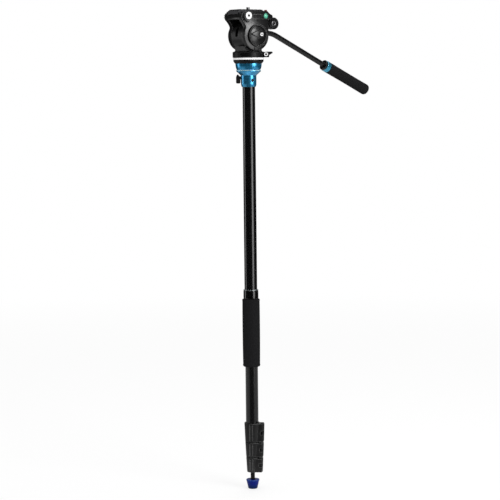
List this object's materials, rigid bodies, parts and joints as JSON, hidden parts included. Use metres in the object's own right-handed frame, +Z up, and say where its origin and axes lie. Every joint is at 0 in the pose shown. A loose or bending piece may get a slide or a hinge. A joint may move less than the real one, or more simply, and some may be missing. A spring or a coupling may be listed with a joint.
{
  "type": "video monopod",
  "caption": "Video monopod with stacked flip locks, foam grip, levelling half ball and a small fluid head with a pan bar.",
  "frame": {"origin": "centre of the foot's sole, on the pole's axis", "axes": "+Z up along the pole, +X towards the operator, +Y towards the pan bar's side"},
  "size_m": [0.3616, 0.0833, 0.9545],
  "materials": {
    "tube_black": "gloss",
    "lock_plastic": "satin",
    "lever_plastic": "satin",
    "bright_steel": "satin",
    "grip_foam": "matte",
    "collar_black": "gloss",
    "blue_anodised": "gloss",
    "foot_rubber": "satin",
    "inner_nylon": "matte",
    "head_black": "satin",
    "ring_silver": "polished",
    "dark_steel": "satin",
    "dial_black": "satin",
    "vial_green": "gloss",
    "button_red": "gloss",
    "pad_rubber": "matte",
    "plate_grey": "satin",
    "bar_grey": "satin",
    "ring_blue": "satin"
  },
  "bodies": {
    "upper_leg": {"upper_tube": "tube_black", "grip_sleeve": "grip_foam", "grip_collar": "collar_black", "lock_1_clamp": "lock_plastic", "lock_1_hardware": "bright_steel", "level_cup": "blue_anodised", "collar_screw": "dark_steel"},
    "lock_1_lever_body": {"lock_1_lever": "lever_plastic"},
    "leg_2": {"leg_tube_2": "tube_black", "leg_2_bush": "inner_nylon", "lock_2_clamp": "lock_plastic", "lock_2_hardware": "bright_steel"},
    "lock_2_lever_body": {"lock_2_lever": "lever_plastic"},
    "leg_3": {"leg_tube_3": "tube_black", "leg_3_bush": "inner_nylon", "lock_3_clamp": "lock_plastic", "lock_3_hardware": "bright_steel"},
    "lock_3_lever_body": {"lock_3_lever": "lever_plastic"},
    "leg_4": {"leg_tube_4": "tube_black", "leg_4_bush": "inner_nylon", "foot_plug": "lock_plastic", "foot_stem": "dark_steel", "foot_pad": "foot_rubber"},
    "level_lock": {"level_lever": "lever_plastic"},
    "brake_shoe": {"ball_seat": "inner_nylon"},
    "ball": {"level_ball": "blue_anodised", "ball_ring": "head_black", "head_stud": "bright_steel", "base_plate": "ring_silver", "pan_base": "head_black", "pan_spindle": "bright_steel"},
    "pan_lock": {"pan_lever": "lever_plastic", "pan_lever_cap": "bright_steel"},
    "head": {"head_body": "head_black", "tilt_axle": "bright_steel"},
    "cradle": {"tilt_cradle": "head_black", "dial_ring": "head_black", "far_cap": "head_black", "qr_bolt": "bright_steel", "rosette_left": "dark_steel", "rosette_right": "dark_steel", "level_vial": "vial_green", "vial_bezel": "dial_black"},
    "drag_control": {"drag_dial": "dial_black", "dial_cap": "bright_steel"},
    "tilt_lock": {"tilt_lever": "lever_plastic"},
    "qr_lock": {"qr_knob": "dial_black"},
    "jaw": {"qr_jaw": "plate_grey"},
    "plate": {"camera_plate": "plate_grey", "plate_pad": "pad_rubber", "camera_screw": "bright_steel"},
    "release_button": {"safety_button": "button_red"},
    "bar": {"bar_clamp": "head_black", "pan_bar": "bar_grey", "handle_collar": "collar_black", "handle_ring": "ring_blue", "handle_foam": "grip_foam"},
    "bar_lock": {"bar_knob": "dial_black"}
  },
  "joints": [
    {"name": "leg_2_slide", "type": "slide", "parent": "upper_leg", "child": "leg_2", "axis": [0, 0, -1], "range_m": [0, 0.38]},
    {"name": "leg_3_slide", "type": "slide", "parent": "leg_2", "child": "leg_3", "axis": [0, 0, -1], "range_m": [0, 0.38]},
    {"name": "leg_4_slide", "type": "slide", "parent": "leg_3", "child": "leg_4", "axis": [0, 0, -1], "range_m": [0, 0.38]},
    {"name": "lock_1_flip", "type": "hinge", "parent": "upper_leg", "child": "lock_1_lever_body", "pos_m": [0.00936, -0.01978, 0.11475], "axis": [0, 0, 1], "range_deg": [0, 100]},
    {"name": "lock_2_flip", "type": "hinge", "parent": "leg_2", "child": "lock_2_lever_body", "pos_m": [0.00815, -0.0189, 0.07995], "axis": [0, 0, 1], "range_deg": [0, 100]},
    {"name": "lock_3_flip", "type": "hinge", "parent": "leg_3", "child": "lock_3_lever_body", "pos_m": [0.00693, -0.01802, 0.04905], "axis": [0, 0, 1], "range_deg": [0, 100]},
    {"name": "level_lock_turn", "type": "hinge", "parent": "upper_leg", "child": "level_lock", "pos_m": [-0.01294, 0.00941, 0.818], "axis": [0.809, -0.5878, 0], "range_deg": [0, 75]},
    {"name": "level_roll", "type": "hinge", "parent": "upper_leg", "child": "brake_shoe", "pos_m": [0, 0, 0.8455], "axis": [1, 0, 0], "range_deg": [-12, 12]},
    {"name": "level_pitch", "type": "hinge", "parent": "brake_shoe", "child": "ball", "pos_m": [0, 0, 0.8455], "axis": [0, 1, 0], "range_deg": [-12, 12]},
    {"name": "pan_lock_turn", "type": "hinge", "parent": "ball", "child": "pan_lock", "pos_m": [0.02313, -0.02669, 0.8632], "axis": [0.5878, 0.809, 0], "range_deg": [0, 50]},
    {"name": "pan", "type": "hinge", "parent": "ball", "child": "head", "pos_m": [0, 0, 0.87], "axis": [0, 0, 1], "continuous": true},
    {"name": "tilt", "type": "hinge", "parent": "head", "child": "cradle", "pos_m": [0, 0, 0.8992], "axis": [0, 1, 0], "range_deg": [-75, 45]},
    {"name": "drag_turn", "type": "hinge", "parent": "cradle", "child": "drag_control", "pos_m": [0, -0.03, 0.8992], "axis": [0, 1, 0], "range_deg": [0, 270]},
    {"name": "tilt_lock_turn", "type": "hinge", "parent": "cradle", "child": "tilt_lock", "pos_m": [0, 0.035, 0.8992], "axis": [0, 1, 0], "range_deg": [0, 70]},
    {"name": "qr_knob_turn", "type": "hinge", "parent": "cradle", "child": "qr_lock", "pos_m": [-0.0219, 0.034, 0.9372], "axis": [0, 1, 0], "range_deg": [0, 270]},
    {"name": "jaw_slide", "type": "slide", "parent": "cradle", "child": "jaw", "axis": [0, 1, 0], "range_m": [0, 0.0015]},
    {"name": "plate_slide", "type": "slide", "parent": "cradle", "child": "plate", "axis": [1, 0, 0], "range_m": [-0.015, 0.015]},
    {"name": "release_press", "type": "slide", "parent": "cradle", "child": "release_button", "axis": [0, 0, -1], "range_m": [0, 0.0018], "stiffness_N_per_m": 400},
    {"name": "bar_swing", "type": "hinge", "parent": "cradle", "child": "bar", "pos_m": [0.0452, 0.03, 0.9231], "axis": [0, 1, 0], "range_deg": [-60, 10]},
    {"name": "bar_knob_turn", "type": "hinge", "parent": "cradle", "child": "bar_lock", "pos_m": [0.0452, 0.04, 0.9231], "axis": [0, 1, 0], "continuous": true}
  ],
  "couplings": [
    {"joint": "jaw_slide", "follows": "qr_knob_turn", "m_per_rad": 0.00031799}
  ]
}
